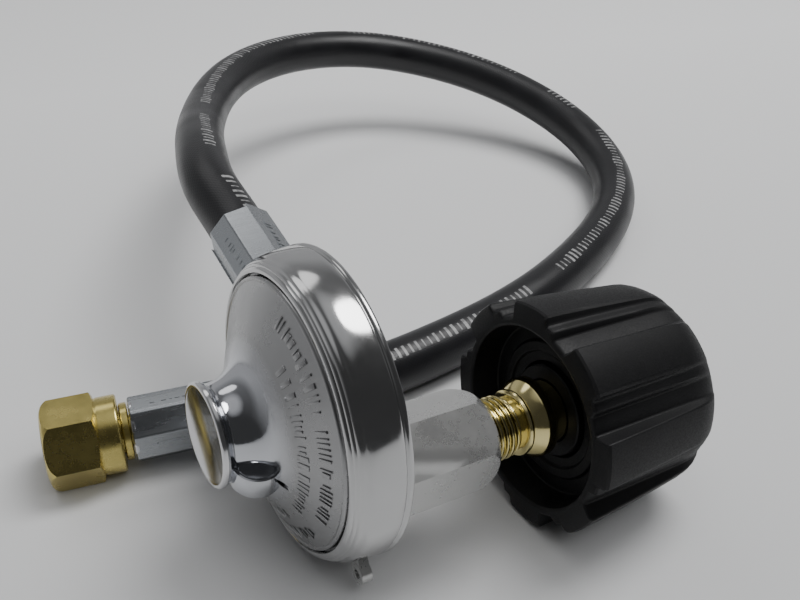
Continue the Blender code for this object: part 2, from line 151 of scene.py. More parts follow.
def metal(name, color, roughness, matrix, mottle=0.05, grain=(1, 1, 1), grainScale=900, bump=0.15,
          shade=0.12):
    made, nodes, links, shader = newMaterial(name)
    shader.inputs["Metallic"].default_value = 1.0
    vector = inFrame(nodes, links, matrix, grain)
    broad = noise(nodes, links, vector, 140, 4)
    fine = noise(nodes, links, vector, grainScale, 3, 0.6)
    dark = tuple(channel * (1 - shade) for channel in color)
    links.new(mixColor(nodes, links, broad, dark, color), shader.inputs["Base Color"])
    rough = math2(nodes, links, "ADD", mapRange(nodes, links, broad, 0.3, 0.7, roughness - mottle,
                                                roughness + mottle),
                  mapRange(nodes, links, fine, 0.3, 0.7, -mottle / 2, mottle / 2))
    links.new(rough, shader.inputs["Roughness"])
    addBump(nodes, links, shader, fine, bump, 0.00005)
    return made


# Cover: tumbled grey on the cone, polished where the cone runs into the snout
def bonnetMetal():
    made = metal("polished_cover", (0.5, 0.5, 0.5), 0.3, toRegulator, 0.05, bump=0.2)
    nodes, links = made.node_tree.nodes, made.node_tree.links
    shader = nodes["Principled BSDF"]
    split = nodes.new("ShaderNodeSeparateXYZ")
    links.new(inFrame(nodes, links, toRegulator), split.inputs["Vector"])
    squares = [math2(nodes, links, "POWER", math2(nodes, links, "ABSOLUTE", split.outputs[key], 0.0), 2.0)
               for key in ("Y", "Z")]
    radius = math2(nodes, links, "SQRT", math2(nodes, links, "ADD", *squares), 0.0)
    rough = shader.inputs["Roughness"].links[0].from_socket
    less = mapRange(nodes, links, radius, 0.0125, 0.018, 0.19, 0.0)
    links.new(math2(nodes, links, "SUBTRACT", rough, less), shader.inputs["Roughness"])
    share = mapRange(nodes, links, radius, 0.0125, 0.018, 0.0, 1.0)
    links.new(mixColor(nodes, links, share, (0.60, 0.61, 0.64), (0.37, 0.37, 0.373)),
              shader.inputs["Base Color"])
    return made


def blackPlastic():
    made, nodes, links, shader = newMaterial("moulded_black")
    vector = inFrame(nodes, links, toInlet)
    grain = noise(nodes, links, vector, 2600, 2, 0.7)
    broad = noise(nodes, links, vector, 160, 4)
    links.new(mixColor(nodes, links, broad, (0.003, 0.003, 0.0034), (0.007, 0.007, 0.0077)),
              shader.inputs["Base Color"])
    links.new(mapRange(nodes, links, grain, 0.3, 0.7, 0.42, 0.62), shader.inputs["Roughness"])
    shader.inputs["Specular IOR Level"].default_value = 0.32
    addBump(nodes, links, shader, grain, 0.35, 0.00008)
    return made


# Hose cover: cloth-marked rubber, and one printed line of plain dashes along it.
# UV: U is the distance along the hose in metres, V the turn round it.
def hoseCover():
    made, nodes, links, shader = newMaterial("hose_cover")
    uv = nodes.new("ShaderNodeUVMap")
    uv.uv_map = "route"
    split = nodes.new("ShaderNodeSeparateXYZ")
    links.new(uv.outputs["UV"], split.inputs["Vector"])
    along, around = split.outputs["X"], split.outputs["Y"]

    # Fine crossing lines pressed into the cover
    lines = []
    for side in (1, -1):
        slant = math2(nodes, links, "ADD", math2(nodes, links, "MULTIPLY", along, 900.0),
                      math2(nodes, links, "MULTIPLY", around, 38.0 * side))
        lines.append(math2(nodes, links, "SINE", math2(nodes, links, "MULTIPLY", slant, math.tau), 0.0))
    weave = math2(nodes, links, "MAXIMUM", lines[0], lines[1])

    # Printed marks: one stroke to a cell, of random width and height, with blank cells between groups
    cells = math2(nodes, links, "MULTIPLY", along, 1 / printStep)
    cell = math2(nodes, links, "FLOOR", cells, 0.0)
    inside = math2(nodes, links, "FRACT", cells, 0.0)
    chance = nodes.new("ShaderNodeTexWhiteNoise")
    chance.noise_dimensions = "1D"
    links.new(cell, chance.inputs["W"])
    word = nodes.new("ShaderNodeTexWhiteNoise")
    word.noise_dimensions = "1D"
    links.new(math2(nodes, links, "FLOOR", math2(nodes, links, "MULTIPLY", cell, 0.143), 0.0),
              word.inputs["W"])
    width = mapRange(nodes, links, chance.outputs["Value"], 0, 1, 0.09, 0.24)
    offCentre = math2(nodes, links, "ABSOLUTE", math2(nodes, links, "SUBTRACT", inside, 0.5), 0.0)
    stroke = math2(nodes, links, "LESS_THAN", offCentre, width)
    height = mapRange(nodes, links, chance.outputs["Value"], 0, 1, 0.026, 0.040)
    offLine = math2(nodes, links, "ABSOLUTE", math2(nodes, links, "SUBTRACT", around, 0.5), 0.0)
    band = math2(nodes, links, "LESS_THAN", offLine, height)
    shown = math2(nodes, links, "GREATER_THAN", word.outputs["Value"], 0.22)
    mark = math2(nodes, links, "MULTIPLY", math2(nodes, links, "MULTIPLY", stroke, band), shown)
    worn = inFrame(nodes, links, Matrix.Identity(4))
    wear = mapRange(nodes, links, noise(nodes, links, worn, 700, 2), 0.35, 0.6, 0.35, 0.8)
    ink = math2(nodes, links, "MULTIPLY", mark, wear)
    dust = noise(nodes, links, worn, 90, 4)
    rubber = mixColor(nodes, links, dust, (0.006, 0.006, 0.007), (0.016, 0.016, 0.018))
    links.new(mixColor(nodes, links, ink, rubber, (0.42, 0.42, 0.42)), shader.inputs["Base Color"])
    links.new(mapRange(nodes, links, dust, 0.3, 0.7, 0.30, 0.42), shader.inputs["Roughness"])
    addBump(nodes, links, shader, weave, 0.22, 0.00006)
    return made


polished = bonnetMetal()
mirror = metal("mirror_cap", (0.74, 0.74, 0.75), 0.16, toRegulator, 0.03, bump=0.05, shade=0.06)
crimped = metal("turned_case", (0.60, 0.60, 0.60), 0.13, toRegulator, 0.03, grainScale=500, bump=0.06)
castSatin = metal("cast_boss", (0.62, 0.62, 0.61), 0.30, toRegulator, 0.06, bump=0.2)
castSatin.node_tree.nodes["Principled BSDF"].inputs["Metallic"].default_value = 0.8
sleeveMetal = metal("crimped_sleeve", (0.45, 0.47, 0.49), 0.27, toFitting, 0.06, grain=(8, 1, 1),
                    bump=0.2)
brassTurned = metal("turned_brass", (0.86, 0.75, 0.36), 0.14, toInlet, 0.04, bump=0.05, shade=0.10)
brassNut = metal("nut_brass", (0.66, 0.55, 0.19), 0.26, toFitting, 0.05, bump=0.10, shade=0.14)
steel = metal("zinc_steel", (0.60, 0.61, 0.63), 0.34, toRegulator, 0.07)
plastic = blackPlastic()
rubberSeal = metal("nitrile", (0.03, 0.03, 0.03), 0.6, toRegulator)
rubberSeal.node_tree.nodes["Principled BSDF"].inputs["Metallic"].default_value = 0.0
print("materials made")


def newObject(name, shape, matrix=None, smoothAngle=35):
    mesh = bpy.data.meshes.new(name)
    shape.to_mesh(mesh)
    shape.free()
    if matrix is not None:
        mesh.transform(matrix)
    made = bpy.data.objects.new(name, mesh)
    bpy.context.scene.collection.objects.link(made)
    mesh.shade_smooth()
    mesh.set_sharp_from_angle(angle=math.radians(smoothAngle))
    return made


# Turned piece round its own X axis, from (radius, x) pairs in millimetres
def turned(name, outline, matrix, steps=128, smoothAngle=35):
    shape = bmesh.new()
    verts = [shape.verts.new((x * mm, radius * mm, 0)) for radius, x in outline]
    for first, second in zip(verts, verts[1:] + verts[:1]):
        if first.co.y > 0 or second.co.y > 0:
            shape.edges.new((first, second))
    bmesh.ops.spin(shape, geom=shape.verts[:] + shape.edges[:], cent=(0, 0, 0), axis=(1, 0, 0),
                   angle=math.tau, steps=steps, use_merge=True)
    bmesh.ops.remove_doubles(shape, verts=shape.verts, dist=0.000002)
    bmesh.ops.recalc_face_normals(shape, faces=shape.faces)
    return newObject(name, shape, matrix, smoothAngle)


# Closed skin over rings of equal count, its ends filled unless the last ring is the first again.
# UV: U runs over the given length, V once round.
def skin(name, rings, matrix=None, smoothAngle=35, length=1.0):
    rows, columns = len(rings) - 1, len(rings[0])
    shape = bmesh.new()
    layer = shape.loops.layers.uv.new("route")
    bmesh.ops.create_grid(shape, x_segments=rows, y_segments=columns, size=1.0, calc_uvs=True)
    for vert in shape.verts:
        row = round((vert.co.x + 1) / 2 * rows)
        column = round((vert.co.y + 1) / 2 * columns) % columns
        vert.co = rings[row][column]
    for face in shape.faces:
        for loop in face.loops:
            loop[layer].uv.x *= length
    bmesh.ops.remove_doubles(shape, verts=shape.verts, dist=0.0000005)
    bmesh.ops.holes_fill(shape, edges=[edge for edge in shape.edges if edge.is_boundary])
    bmesh.ops.recalc_face_normals(shape, faces=shape.faces)
    return newObject(name, shape, matrix, smoothAngle)


def arc(radius, x, size, start, stop, count=8):
    angles = [math.radians(start + (stop - start) * k / count) for k in range(count + 1)]
    return [(radius + size * math.sin(a), x + size * math.cos(a)) for a in angles]


# Flat-sided bar along its own X axis, its long edges rounded, and its ends too where asked
def bar(name, flatsMm, sides, lowMm, highMm, flatAngle, matrix, edgeMm, endsToo=False):
    shape = bmesh.new()
    radius = flatsMm * mm / 2 / math.cos(math.pi / sides)
    bmesh.ops.create_cone(shape, cap_ends=True, segments=sides, radius1=radius, radius2=radius,
                          depth=(highMm - lowMm) * mm)
    shape.verts.ensure_lookup_table()
    first = shape.verts[0].co
    turn = flatAngle + math.pi / sides - math.atan2(first.y, first.x)
    for vert in shape.verts:
        around = math.atan2(vert.co.y, vert.co.x) + turn
        vert.co = (vert.co.z + (highMm + lowMm) * mm / 2, radius * math.cos(around),
                   radius * math.sin(around))
    edges = [edge for edge in shape.edges
             if endsToo or abs(edge.verts[0].co.x - edge.verts[1].co.x) > 0.0001]
    bmesh.ops.bevel(shape, geom=edges, offset=edgeMm * mm, affect="EDGES", segments=3, profile=0.5,
                    material=-1)
    bmesh.ops.recalc_face_normals(shape, faces=shape.faces)
    return newObject(name, shape, matrix)


def combine(target, operation, *others):
    for other in others:
        change = target.modifiers.new(operation, "BOOLEAN")
        change.operation = operation
        change.solver = "EXACT"
        change.object = other
        graph = bpy.context.evaluated_depsgraph_get()
        mesh = bpy.data.meshes.new_from_object(target.evaluated_get(graph))
        target.modifiers.clear()
        target.data = mesh
        bpy.data.objects.remove(other, do_unlink=True)
    target.data.shade_smooth()
    target.data.set_sharp_from_angle(angle=math.radians(35))
    return target


# Flat faces keep their own shading, and the rounded edges take the bend
def crisp(piece):
    change = piece.modifiers.new("Crisp", "WEIGHTED_NORMAL")
    change.keep_sharp = True
    return piece


def finish(piece, material, body, slot, *nodes):
    piece.data.materials.clear()
    piece.data.materials.append(material)
    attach(piece, body)
    if nodes:
        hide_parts(*nodes)
    return piece


def buildStage():
    camera = bpy.data.objects.new("camera", bpy.data.cameras.new("camera"))
    camera.location = Vector((-0.06584, -0.14002, 0.159)) + shift
    camera.rotation_euler = (math.radians(90 - 32.9), 0, math.radians(-30.7))
    camera.data.lens = 42.75
    camera.data.sensor_width = 36
    camera.data.clip_start = 0.01
    bpy.context.scene.collection.objects.link(camera)
    bpy.context.scene.camera = camera

    shape = bmesh.new()
    bmesh.ops.create_grid(shape, x_segments=2, y_segments=2, size=3.0)
    floor = newObject("floor", shape)
    made, nodes, links, shader = newMaterial("floor_paper")
    vector = inFrame(nodes, links, Matrix.Identity(4))
    split = nodes.new("ShaderNodeSeparateXYZ")
    links.new(vector, split.inputs["Vector"])
    # Painted light: the floor colour runs from darker near the viewer to lighter at the back, standing in
    # for the fall-off of the light
    back = math2(nodes, links, "ADD", split.outputs["Y"],
                 math2(nodes, links, "MULTIPLY", split.outputs["X"], 0.25))
    paperWithPaintedFalloff = mixColor(nodes, links, mapRange(nodes, links, back, -0.10, 0.30, 0, 1), floorPaintedShadeNear, floorPaintedLightFar)
    links.new(paperWithPaintedFalloff, shader.inputs["Base Color"])
    shader.inputs["Roughness"].default_value = 0.6
    floor.data.materials.append(made)

    # Dim room, darker on the viewer's side, with a pale wall low down behind
    world = bpy.data.worlds.new("studio")
    bpy.context.scene.world = world
    world.use_nodes = True
    nodes, links = world.node_tree.nodes, world.node_tree.links
    coords = nodes.new("ShaderNodeTexCoord")
    split = nodes.new("ShaderNodeSeparateXYZ")
    links.new(coords.outputs["Generated"], split.inputs["Vector"])
    behind = mapRange(nodes, links, split.outputs["Y"], -0.5, 0.6, 0.0, 1.0)
    low = mapRange(nodes, links, split.outputs["Z"], 0.35, 0.65, 1.0, 0.35)
    wall = math2(nodes, links, "MULTIPLY", behind, low)
    top = mapRange(nodes, links, split.outputs["Z"], 0.86, 0.97, 0.0, roomTop)
    level = math2(nodes, links, "ADD", math2(nodes, links, "MULTIPLY", wall, roomWall), top)
    level = math2(nodes, links, "ADD", level, roomDark)
    background = nodes["Background"]
    background.inputs["Color"].default_value = (0.97, 0.98, 1.0, 1.0)
    links.new(level, background.inputs["Strength"])

    def lamp(name, azimuth, elevation, distance, size, power, color=(1, 1, 1), glossy=True):
        data = bpy.data.lights.new(name, "AREA")
        data.shape = "ELLIPSE"
        data.size, data.size_y = size
        data.energy = power
        data.color = color
        made = bpy.data.objects.new(name, data)
        azimuth, elevation = math.radians(azimuth), math.radians(elevation)
        flat = math.cos(elevation) * distance
        away = Vector((flat * math.cos(azimuth), flat * math.sin(azimuth),
                       math.sin(elevation) * distance))
        made.location = away + Vector((0.0, 0.03, 0.03))
        made.visible_glossy = glossy
        made.rotation_euler = (-away).to_track_quat("-Z", "Y").to_euler()
        bpy.context.scene.collection.objects.link(made)

    lamp("key_softbox", 0, 64, 1.2, (0.55, 0.75), keyPower)
    lamp("front_fill", -76, 53, 1.0, (0.75, 0.28), 0.9, (0.98, 0.99, 1.0), glossy=False)
    lamp("back_softbox", 95, 50, 1.6, (1.2, 0.5), backPower)
    lamp("room_fill", -60, 70, 2.0, (2.5, 2.5), fillPower, glossy=False)
    return camera


buildStage()
print("stage made")


# Points between the two sleeves, in the frame of the disc's foot: metres
hoseRoute = [
    (0.0069, 0.0800, 0.0480), (0.0108, 0.0966, 0.0486), (0.0176, 0.1172, 0.0461),
    (0.0265, 0.1385, 0.0430), (0.0385, 0.1600, 0.0412), (0.0545, 0.1790, 0.0400),
    (0.0750, 0.1925, 0.0385), (0.0980, 0.1988, 0.0360), (0.1205, 0.1968, 0.0326),
    (0.1400, 0.1850, 0.0288), (0.1552, 0.1674, 0.0245), (0.1658, 0.1456, 0.0192),
    (0.1698, 0.1223, 0.0136), (0.1656, 0.1004, 0.0094), (0.1538, 0.0815, 0.0076),
    (0.1370, 0.0665, 0.0073), (0.1165, 0.0545, 0.0073), (0.0950, 0.0452, 0.0073),
    (0.0730, 0.0390, 0.0073), (0.0510, 0.0355, 0.0074), (0.0305, 0.0335, 0.0080),
]


# Natural cubic curve through the points, by the tridiagonal rule, read at even chord steps
def smoothRoute(points, count):
    knots = [Vector(point) for point in points]
    size = len(knots)
    step = [(b - a).length for a, b in zip(knots, knots[1:])]
    chord = [0.0]
    for length in step:
        chord.append(chord[-1] + length)
    bend = [Vector() for _ in knots]
    ratio = [0.0] * size
    for k in range(1, size - 1):
        pull = 6 * ((knots[k + 1] - knots[k]) / step[k] - (knots[k] - knots[k - 1]) / step[k - 1])
        lead = 2 * (step[k - 1] + step[k]) - step[k - 1] * ratio[k - 1]
        ratio[k] = step[k] / lead
        bend[k] = (pull - step[k - 1] * bend[k - 1]) / lead
    for k in range(size - 2, 0, -1):
        bend[k] -= ratio[k] * bend[k + 1]
    found = []
    k = 0
    for index in range(count):
        along = chord[-1] * index / (count - 1)
        while k < size - 2 and along > chord[k + 1]:
            k += 1
        left = (chord[k + 1] - along) / step[k]
        back = 1 - left
        bow = ((left ** 3 - left) * bend[k] + (back ** 3 - back) * bend[k + 1]) * step[k] ** 2 / 6
        found.append(left * knots[k] + back * knots[k + 1] + bow)
    return found


def buildHose():
    first = [toRegulator @ Vector((outletX, sleeveEnd + gap + ahead, outletZ)) for ahead in (0, 0.004)]
    last = [toFitting @ Vector((ferruleEnd + gap + back, 0, 0)) for back in (0.018, 0.004, 0)]
    path = smoothRoute(first + [Vector(point) + shift for point in hoseRoute] + last, hosePoints)
    length = sum((b - a).length for a, b in zip(path, path[1:]))
    rings = []
    # Each ring starts opposite the printed line, which leans slowly from the upper side to the near one
    for index, point in enumerate(path):
        ahead = (path[min(index + 1, len(path) - 1)] - path[max(index - 1, 0)]).normalized()
        up = (Vector((0, 0, 1)) - ahead * ahead.z).normalized()
        out = up.cross(ahead).normalized()
        share = index / (len(path) - 1)
        lean = math.radians(-25 * (1 - min(1, share / 0.35)) + 42 * max(0, share - 0.35))
        axisOne = up * math.cos(lean) + out * math.sin(lean)
        axisTwo = ahead.cross(axisOne)
        turns = [math.tau * k / hoseSides + math.pi for k in range(hoseSides)]
        rings.append([point + (axisOne * math.cos(t) + axisTwo * math.sin(t)) * hoseDiameter / 2
                      for t in turns])
    hose = skin("hose_cover", rings, smoothAngle=50, length=length)
    finish(hose, hoseCover(), "regulator", "hose_rubber", "hose")
    return hose, path, length


hose, hosePath, hoseLength = buildHose()
print("hose made", round(hoseLength, 4))


def buildSleeve(name, lowMm, highMm, matrix, flatAngle, body):
    sleeve = bar(name + "_octagon", sleeveFlatsMm, 8, lowMm, highMm, flatAngle, matrix, 0.5, True)
    bore = turned(name + "_bore", [(0, lowMm - 2), (5.2, lowMm - 2), (5.2, highMm + 2),
                                   (0, highMm + 2)], matrix, 64)
    crisp(combine(sleeve, "DIFFERENCE", bore))
    finish(sleeve, sleeveMetal, body, "satin_aluminium", name)

    # Rounded lip at the end the stem goes in
    lip = [(5.3, lowMm - 0.1), (7.2, lowMm - 0.1), (7.5, lowMm + 0.05), (7.66, lowMm + 0.35),
           (7.66, lowMm + 0.8),
           (7.5, lowMm + 1.15), (5.3, lowMm + 1.4)]
    finish(turned(name + "_lip", lip, matrix, 96), mirror, body, "satin_aluminium", name)

    # Raised plain bars stamped on alternate flats
    shape = bmesh.new()
    for flat in range(0, 8, 2):
        angle = flatAngle + math.tau * flat / 8
        spin = Matrix.Rotation(angle, 4, "X")
        at = lowMm + 5.0
        while at < highMm - 6.0:
            length = random.choice((0.45, 0.7, 1.1))
            tall = random.choice((1.3, 1.9, 1.9))
            made = bmesh.ops.create_cube(shape, size=1.0)
            matrixOne = spin @ Matrix.Translation(((at + length / 2) * mm, 7.6 * mm, 0))
            bmesh.ops.scale(shape, vec=(length * mm, 0.24 * mm, tall * mm), verts=made["verts"])
            bmesh.ops.transform(shape, matrix=matrixOne, verts=made["verts"])
            at += length + random.choice((0.6, 0.7, 1.6))
    marks = newObject(name + "_marks", shape, matrix)
    finish(marks, sleeveMetal, body, "satin_aluminium")
    return sleeve


buildSleeve("outlet_sleeve", 36.5, 60.3, toOutlet, math.radians(32), "regulator")
endFerrule = buildSleeve("end_ferrule", 19.7, 43.7, toFitting, 0.0, "regulator")
print("sleeves made")


def buildNut():
    nut = bar("nut", nutFlatsMm, 6, 0, 12, math.radians(90), toFitting, 0.25)
    crown = [(0, -1), (8.9, -1), (8.9, 0.05), (9.4, 0.18), (10.0, 0.55), (10.5, 1.1), (10.9, 1.8),
             (11.6, 3.0)]
    crown += [(11.6, 10.9), (10.8, 11.5), (10.0, 11.9), (9.7, 12.0), (9.7, 13), (0, 13)]
    combine(nut, "INTERSECT", turned("nut_crown", crown, toFitting, 96))
    collar = [(0, 11.5), (9.15, 11.5), (9.15, 12.4), (9.3, 12.7), (9.3, 16.4)]
    collar += arc(8.7, 16.6, 0.6, 90, 0, 5) + [(0, 17.2)]
    combine(nut, "UNION", turned("nut_collar", collar, toFitting, 96))
    bore = [(0, -2), (8.1, -2), (8.1, 0.1), (7.6, 0.6)]
    at = 0.8
    while at < 9.6:
        bore += [(7.3, at), (7.9, at + 0.7)]
        at += taperPitchMm
    bore += [(7.3, 10.5), (5.5, 10.5), (5.5, 18), (0, 18)]
    combine(nut, "DIFFERENCE", turned("nut_bore", bore, toFitting, 80))
    finish(crisp(nut), brassNut, "flare_nut", "brass", "flare_nut")

    stem = [(2.6, 4.8), (3.4, 4.8), (6.8, 8.4), (6.8, 10.1), (5.2, 10.1), (5.2, 17.4), (6.5, 17.45),
            (6.85, 17.7)]
    stem += [(6.9, 18.0), (6.9, 19.1), (6.7, 19.3), (3.8, 19.35), (3.8, 41.0), (2.6, 41.0)]
    return finish(turned("end_stem_turned", stem, toFitting, 96), brassNut, "regulator", "brass",
                  "end_stem")


endStem = buildNut()
print("fittings made")


def buildCase():
    lip = [(29.05, -9.0), (29.05, -10.3), (29.15, -10.75), (29.4, -11.0), (29.8, -11.02),
           (30.15, -10.85), (30.4, -10.55)]
    ridges = [(30.52, -10.3), (30.78, -10.22), (30.98, -10.02), (31.08, -9.75), (31.12, -9.6),
              (31.4, -9.42)]
    ridges += [(31.62, -9.1), (31.75, -8.7), (31.8, -8.45)]
    shoulder = [(32.1, -8.1), (32.4, -7.55), (32.65, -6.8), (32.85, -5.8), (32.98, -4.6), (33.05, -3.4),
                (33.08, -2.2)]
    rim = [(33.06, -1.3), (32.98, -0.85), (32.9, -0.7), (32.98, -0.55), (33.2, -0.42), (33.3, -0.2),
           (33.3, 0.3)]
    rim += [(33.15, 0.62), (32.7, 0.8)]
    back = [(30.2, 1.2), (28.2, 1.7), (26.8, 2.2), (25.9, 2.9), (25.2, 3.7), (24.2, 4.5), (22.6, 5.5),
            (20.6, 6.6)]
    back += [(18.4, 7.7), (16.4, 8.5), (15.2, 8.85), (14.0, 9.0), (0, 9.0)]
    chamber = [(0, 7.6), (14.2, 7.6), (18.0, 6.4), (22.0, 4.3), (24.2, 2.6), (24.8, 1.4), (25.0, -5.2)]
    hollow = chamber + [(28.8, -5.2), (28.8, -9.0)]
    outline = lip + ridges + shoulder + rim + back + hollow
    case = turned("case", outline, toRegulator, 192, smoothAngle=40)
    pocket = [(0, -2), (4.6, -2), (4.6, 7.2), (0, 7.2)]
    combine(case, "DIFFERENCE", turned("valve_pocket", pocket, toBoss, 48))
    finish(case, crimped, "regulator", "polished_cast_aluminium", "regulator_body")

    # Hexagonal inlet boss, chamfered at its free end
    bossTurn = math.radians(119.5)
    boss = bar("inlet_boss", bossFlatsMm, 6, 1.4, 25.0, bossTurn, toBoss, 0.9)
    crown = [(0, 0), (12.0, 0), (12.0, 18.0), (11.3, 20.6), (10.7, 22.4), (10.1, 23.6), (9.4, 24.5),
             (8.7, 24.9)]
    crown += [(8.1, 25.0), (0, 25.0)]
    combine(boss, "INTERSECT", turned("boss_crown", crown, toBoss, 96))
    bore = [(0, 12), (7.0, 12), (7.0, 24.5), (7.6, 26), (0, 26)]
    combine(boss, "DIFFERENCE", turned("boss_bore", bore, toBoss, 64))
    combine(boss, "DIFFERENCE", turned("boss_pocket", pocket, toBoss, 48))
    combine(boss, "DIFFERENCE", turned("boss_chamber", chamber + [(0, -5.2)], toRegulator, 96))
    finish(crisp(boss), castSatin, "regulator", "polished_cast_aluminium")

    # Parting lines of the casting along its upper and lower corners
    shape = bmesh.new()
    for corner in (-30, 90):
        made = bmesh.ops.create_cube(shape, size=1.0)
        bmesh.ops.scale(shape, vec=(16.5 * mm, 0.5 * mm, 0.22 * mm), verts=made["verts"])
        place = Matrix.Rotation(bossTurn + math.radians(corner), 4, "X")
        place = place @ Matrix.Translation((11.0 * mm, 10.62 * mm, 0))
        bmesh.ops.transform(shape, matrix=place, verts=made["verts"])
    finish(newObject("parting_lines", shape, toBoss), castSatin, "regulator", "polished_cast_aluminium")

    outlet = [(5.3, 14), (8.9, 14), (8.9, 24), (8.6, 27), (8.4, 33.2)] + arc(7.7, 33.8, 0.7, 90, 0, 5)
    outlet += [(5.3, 34.5)]
    finish(turned("outlet_boss", outlet, toOutlet, 80), castSatin, "regulator", "polished_cast_aluminium")
    stem = [(5.0, 33.5), (6.2, 34.7), (7.0, 34.9), (7.0, 36.1), (5.2, 36.2), (5.2, 38), (3, 38),
            (3, 33.5)]
    finish(turned("outlet_stem_collar", stem, toOutlet, 64), steel, "regulator", "zinc_plated_steel")

    # Tag lug on the rim
    lugTurn = Matrix.Rotation(math.radians(-141.5), 4, "X")
    shape = bmesh.new()
    bmesh.ops.create_cone(shape, cap_ends=True, segments=48, radius1=2.3 * mm, radius2=2.3 * mm,
                          depth=2.4 * mm,
                          matrix=Matrix.Rotation(math.pi / 2, 4, "Y"))
    lug = newObject("rim_lug", shape)
    shape = bmesh.new()
    made = bmesh.ops.create_cube(shape, size=1.0)
    bmesh.ops.scale(shape, vec=(2.2 * mm, 4.6 * mm, 4.3 * mm), verts=made["verts"])
    bmesh.ops.translate(shape, vec=(0, -2.3 * mm, 0), verts=made["verts"])
    combine(lug, "UNION", newObject("lug_neck", shape))
    shape = bmesh.new()
    bmesh.ops.create_cone(shape, cap_ends=True, segments=32, radius1=1.0 * mm, radius2=1.0 * mm,
                          depth=6 * mm,
                          matrix=Matrix.Rotation(math.pi / 2, 4, "Y"))
    combine(lug, "DIFFERENCE", newObject("lug_hole", shape))
    rounding = lug.modifiers.new("Bevel", "BEVEL")
    rounding.width = 0.25 * mm
    rounding.segments = 2
    rounding.limit_method = "ANGLE"
    lug.data.transform(toRegulator @ lugTurn @ Matrix.Translation((-3.0 * mm, 36.0 * mm, 0)))
    finish(lug, castSatin, "regulator", "polished_cast_aluminium")


def buildBonnet():
    inner = [(8.0, -26.5), (8.0, -20.0), (9.5, -17.8), (12.0, -15.2), (23.2, -9.4), (23.6, -8.1)]
    edge = [(30.3, -8.1), (30.3, -9.3), (28.75, -9.4), (28.75, -10.8), (28.68, -11.1), (28.45, -11.4),
            (28.15, -11.5)]
    edge += [(27.9, -11.42), (27.75, -11.35), (27.5, -11.45)]
    flare = [(9.9 + 7.4 * (1 - math.cos(math.radians(a))), -24.6 + 7.4 * math.sin(math.radians(a)))
             for a in range(0, 67, 6)]
    mouth = [(9.95, -25.0), (10.15, -25.45), (10.5, -25.85), (10.8, -26.1), (10.9, -26.5)]
    outline = inner + edge + flare[::-1] + mouth
    bonnet = turned("bonnet_shell", outline, toRegulator, 192, smoothAngle=40)

    post = [(0, -5.6), (4.9, -5.6), (5.2, -5.4), (5.3, -5.1), (5.3, -0.6), (5.15, -0.25), (4.85, -0.1),
            (4.5, -0.16)]
    post += [(4.2, -0.4), (0, -0.4)]
    upright = toRegulator @ Matrix.Translation((-20.0 * mm, -9.2 * mm,
                                                0)) @ Matrix.Rotation(-math.pi / 2, 4, "Y")
    post = turned("vent_post", post, upright, 64)
    clear = [(0, -28.5), (9.1, -28.5), (9.1, -19.2), (10.6, -17.6), (14.0, -14.4), (14.0, -12), (0, -12)]
    combine(post, "DIFFERENCE", turned("post_clear", clear, toRegulator, 96))
    combine(bonnet, "UNION", post)
    sideways = toRegulator @ Matrix.Translation((-17.2 * mm, 0, -1.7 * mm))
    sideways = sideways @ Matrix.Rotation(-math.pi / 2, 4, "Z")
    hole = turned("vent", [(0, 6), (0.75, 6), (0.75, 18), (0, 18)], sideways, 32)
    combine(bonnet, "DIFFERENCE", hole)
    finish(bonnet, polished, "regulator", "polished_cast_aluminium", "bonnet")

    # Two rings of plain raised strokes on the cone, in groups
    shape = bmesh.new()
    slope = math.atan2(27.6 - 13.0, -11.45 + 18.2)
    for radius, tall, arcs in ((19.6, 2.7, ((-75, 20), (40, 62))),
                               (24.4, 2.9, ((-95, -48), (-40, 12), (28, 66)))):
        for start, stop in arcs:
            angle = start
            while angle < stop:
                wide = random.choice((0.4, 0.4, 0.55, 1.1))
                high = tall * random.choice((1.0, 1.0, 0.62))
                made = bmesh.ops.create_cube(shape, size=1.0)
                bmesh.ops.scale(shape, vec=(0.55 * mm, high * mm, wide * mm), verts=made["verts"])
                at = Matrix.Rotation(math.radians(180 + angle), 4, "X")
                x = -18.2 + (radius - 13.0) * (18.2 - 11.45) / (27.6 - 13.0)
                at = at @ Matrix.Translation((x * mm, radius * mm, 0))
                at = at @ Matrix.Rotation(slope - math.pi / 2, 4, "Z")
                bmesh.ops.transform(shape, matrix=at, verts=made["verts"])
                angle += math.degrees((wide + random.choice((0.55, 0.7, 0.7, 1.5))) / radius)
    bmesh.ops.bevel(shape, geom=shape.edges[:], offset=0.07 * mm, affect="EDGES", segments=2,
                    profile=0.5, material=-1)
    finish(newObject("cone_marks", shape, toRegulator), polished, "regulator", "polished_cast_aluminium")

    cap = [(0, -27.35), (9.6, -27.35), (9.85, -27.5), (10.1, -27.58), (10.4, -27.55), (10.7, -27.4),
           (10.88, -27.15)]
    cap += [(10.9, -26.55), (7.7, -26.55), (7.7, -24), (6.2, -24), (6.2, -25.2), (0, -25.2)]
    finish(turned("cap_turned", cap, toRegulator, 128), mirror, "regulator", "polished_cast_aluminium",
           "closing_cap")


buildCase()
buildBonnet()
print("case made")


# Threaded rod along X: the radius rises and falls with height less the turn
def thread(name, coreMm, depthMm, pitchMm, lowMm, highMm, matrix, around=96):
    rows = int((highMm - lowMm) / pitchMm * 16)
    rings = []
    for row in range(rows + 1):
        x = lowMm + (highMm - lowMm) * row / rows
        fade = max(0.0, min(1.0, (x - lowMm) / pitchMm, (highMm - x) / pitchMm))
        ring = []
        for k in range(around):
            turn = k / around
            crest = 0.5 - 0.5 * math.cos(math.tau * (x / pitchMm - turn))
            radius = (coreMm - depthMm * (1 - min(1.0, 1.25 * crest) * fade)) * mm
            ring.append((x * mm, radius * math.cos(math.tau * turn), radius * math.sin(math.tau * turn)))
        rings.append(ring)
    return skin(name, rings, matrix, 60)


